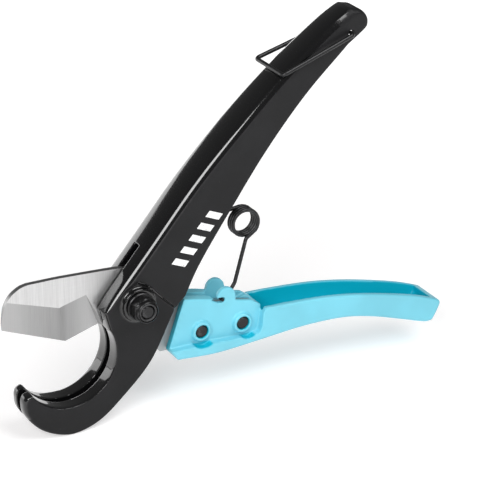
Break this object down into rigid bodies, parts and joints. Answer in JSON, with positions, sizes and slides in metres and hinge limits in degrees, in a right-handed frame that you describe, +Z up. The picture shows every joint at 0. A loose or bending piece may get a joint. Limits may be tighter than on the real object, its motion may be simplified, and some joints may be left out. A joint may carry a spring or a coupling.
{
  "type": "pipe cutter",
  "caption": "One-hand plastic pipe cutter: a hook jaw and handle in one casting, a blade on a hinged lever, a torsion spring that opens it and a wire latch.",
  "frame": {"origin": "centre of the pivot bolt head's outer face, on the far side of the tool", "axes": "+Y out of the bolt head along the pivot axis, +Z up towards the handle's tip, +X from the jaw towards the two handles"},
  "size_m": [0.2164, 0.0366, 0.1728],
  "materials": {
    "black_enamel": "satin black enamel on a casting, glossier on the front web",
    "blue_enamel": "satin light blue enamel on a casting",
    "blade_steel": "ground steel, brushed flat with polished bevels",
    "blackened_steel": "black oxide on steel wire and fasteners",
    "nylon": "dark nylon"
  },
  "bodies": {
    "frame": {"frame_casting": "black_enamel", "pivot_bolt": "blackened_steel", "pivot_washer_near": "blackened_steel", "pivot_washer_far": "blackened_steel", "pivot_locknut": "blackened_steel", "locknut_nylon_ring": "nylon"},
    "lever": {"lever_casting": "blue_enamel", "blade": "blade_steel", "blade_screw_front": "blackened_steel", "blade_screw_rear": "blackened_steel"},
    "spring_lower": {"spring_lower_leg": "blackened_steel"},
    "spring_upper": {"spring_coil_and_upper_leg": "blackened_steel"},
    "latch": {"latch_bail": "blackened_steel"}
  },
  "joints": [
    {"name": "lever_hinge", "type": "hinge", "parent": "frame", "child": "lever", "pos_m": [0, -0.0171, 0], "axis": [0, -1, 0], "range_deg": [0, 51], "stiffness_Nm_per_rad": 0.4, "springref_deg": -28.65},
    {"name": "spring_foot", "type": "hinge", "parent": "lever", "child": "spring_lower", "pos_m": [0.0428, -0.0171, -0.0089], "axis": [0, -1, 0], "range_deg": [-63, 1]},
    {"name": "spring_coil", "type": "hinge", "parent": "spring_lower", "child": "spring_upper", "pos_m": [0.0566, -0.0171, 0.0238], "axis": [0, -1, 0], "range_deg": [-1, 51]},
    {"name": "latch_swing", "type": "hinge", "parent": "frame", "child": "latch", "pos_m": [0.106, -0.0171, 0.1054], "axis": [0, -1, 0], "range_deg": [-297, 0]}
  ],
  "couplings": [
    {"joint": "spring_foot", "follows": "lever_hinge", "ratio": -1.18},
    {"joint": "spring_coil", "follows": "lever_hinge", "ratio": 0.96}
  ]
}
